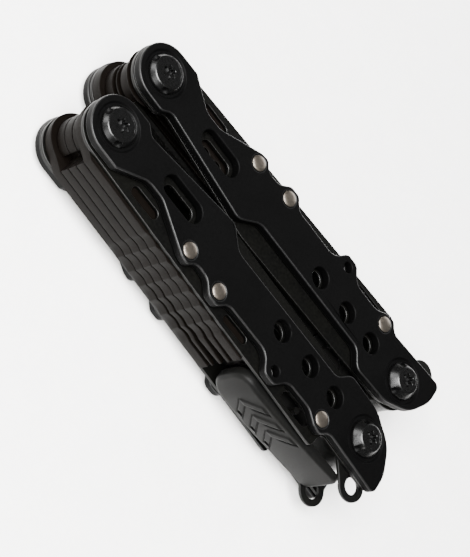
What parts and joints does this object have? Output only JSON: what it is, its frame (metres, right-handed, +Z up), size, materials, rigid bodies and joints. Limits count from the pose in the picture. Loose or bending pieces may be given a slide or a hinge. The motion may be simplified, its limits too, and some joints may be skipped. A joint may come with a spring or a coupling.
{
  "type": "folding multi tool",
  "caption": "Folded plier multi tool with scalloped black handles, folding blades and drivers on the outside, sliding locks and lanyard eyes.",
  "frame": {"origin": "middle of the closed tool's length and width, on the plane that its lower plier screw heads rest on", "axes": "+X along the handles towards the plier axles, +Y from the front handle to the rear handle, +Z up along the axles"},
  "size_m": [0.1086, 0.0446, 0.0252],
  "materials": {
    "cover_black": "matte powder coat",
    "liner_black": "black oxide, satin",
    "rivet_nickel": "dull nickel plate",
    "pin_steel": "turned",
    "screw_black": "gloss black",
    "slide_grey": "satin grey",
    "tool_steel": "dark oxide, satin",
    "jaw_steel": "dark oxide, satin"
  },
  "bodies": {
    "front_handle": {"front_cover_top": "cover_black", "front_cover_bottom": "cover_black", "front_liner_top": "liner_black", "front_liner_bottom": "liner_black", "front_cover_rivets": "rivet_nickel", "front_gap_washers": "liner_black", "front_tool_axle": "pin_steel", "front_tool_screws": "screw_black", "front_plier_axle": "pin_steel", "front_plier_screws": "screw_black", "front_spacer": "pin_steel"},
    "front_slide": {"front_lock_slide": "slide_grey", "front_lock_bar": "pin_steel", "front_slide_pin": "pin_steel"},
    "knife_blade": {"knife_blade": "tool_steel"},
    "large_driver": {"large_driver": "tool_steel"},
    "medium_driver": {"medium_driver": "tool_steel"},
    "awl": {"awl": "tool_steel"},
    "wood_saw": {"wood_saw": "tool_steel"},
    "front_jaw": {"front_jaw": "jaw_steel", "jaw_rivet": "pin_steel", "jaw_spring": "pin_steel"},
    "rear_jaw": {"rear_jaw": "jaw_steel"},
    "rear_handle": {"rear_cover_top": "cover_black", "rear_cover_bottom": "cover_black", "rear_liner_top": "liner_black", "rear_liner_bottom": "liner_black", "rear_cover_rivets": "rivet_nickel", "rear_gap_washers": "liner_black", "rear_tool_axle": "pin_steel", "rear_tool_screws": "screw_black", "rear_plier_axle": "pin_steel", "rear_plier_screws": "screw_black", "rear_spacer": "pin_steel"},
    "rear_slide": {"rear_lock_slide": "slide_grey", "rear_lock_bar": "pin_steel", "rear_slide_pin": "pin_steel"},
    "serrated_blade": {"serrated_blade": "tool_steel"},
    "cross_driver": {"cross_driver": "tool_steel"},
    "can_opener": {"can_opener": "tool_steel"},
    "bottle_opener": {"bottle_opener": "tool_steel"},
    "metal_file": {"metal_file": "tool_steel"}
  },
  "joints": [
    {"name": "front_fold", "type": "hinge", "parent": "front_handle", "child": "front_jaw", "pos_m": [0.04465, -0.00945, 0.0126], "axis": [0, 0, -1], "range_deg": [0, 170]},
    {"name": "jaw_open", "type": "hinge", "parent": "front_jaw", "child": "rear_jaw", "pos_m": [0.02865, 0, 0.0126], "axis": [0, 0, 1], "range_deg": [0, 34]},
    {"name": "rear_fold", "type": "hinge", "parent": "rear_jaw", "child": "rear_handle", "pos_m": [0.04465, 0.00945, 0.0126], "axis": [0, 0, -1], "range_deg": [0, 170]},
    {"name": "front_slide_travel", "type": "slide", "parent": "front_handle", "child": "front_slide", "axis": [-1, 0, 0], "range_m": [0, 0.002]},
    {"name": "rear_slide_travel", "type": "slide", "parent": "rear_handle", "child": "rear_slide", "axis": [-1, 0, 0], "range_m": [0, 0.002]},
    {"name": "knife_blade_swing", "type": "hinge", "parent": "front_handle", "child": "knife_blade", "pos_m": [-0.04735, -0.00945, 0.0126], "axis": [0, 0, -1], "range_deg": [0, 180]},
    {"name": "large_driver_swing", "type": "hinge", "parent": "front_handle", "child": "large_driver", "pos_m": [-0.04735, -0.00945, 0.0126], "axis": [0, 0, -1], "range_deg": [0, 180]},
    {"name": "medium_driver_swing", "type": "hinge", "parent": "front_handle", "child": "medium_driver", "pos_m": [-0.04735, -0.00945, 0.0126], "axis": [0, 0, -1], "range_deg": [0, 180]},
    {"name": "awl_swing", "type": "hinge", "parent": "front_handle", "child": "awl", "pos_m": [-0.04735, -0.00945, 0.0126], "axis": [0, 0, -1], "range_deg": [0, 180]},
    {"name": "wood_saw_swing", "type": "hinge", "parent": "front_handle", "child": "wood_saw", "pos_m": [-0.04735, -0.00945, 0.0126], "axis": [0, 0, -1], "range_deg": [0, 180]},
    {"name": "serrated_blade_swing", "type": "hinge", "parent": "rear_handle", "child": "serrated_blade", "pos_m": [-0.04735, 0.00945, 0.0126], "axis": [0, 0, 1], "range_deg": [0, 180]},
    {"name": "cross_driver_swing", "type": "hinge", "parent": "rear_handle", "child": "cross_driver", "pos_m": [-0.04735, 0.00945, 0.0126], "axis": [0, 0, 1], "range_deg": [0, 180]},
    {"name": "can_opener_swing", "type": "hinge", "parent": "rear_handle", "child": "can_opener", "pos_m": [-0.04735, 0.00945, 0.0126], "axis": [0, 0, 1], "range_deg": [0, 180]},
    {"name": "bottle_opener_swing", "type": "hinge", "parent": "rear_handle", "child": "bottle_opener", "pos_m": [-0.04735, 0.00945, 0.0126], "axis": [0, 0, 1], "range_deg": [0, 180]},
    {"name": "metal_file_swing", "type": "hinge", "parent": "rear_handle", "child": "metal_file", "pos_m": [-0.04735, 0.00945, 0.0126], "axis": [0, 0, 1], "range_deg": [0, 180]}
  ],
  "couplings": [
    {"joint": "rear_fold", "follows": "front_fold", "ratio": 1},
    {"joint": "jaw_open", "follows": "front_fold", "ratio": 0.2}
  ]
}
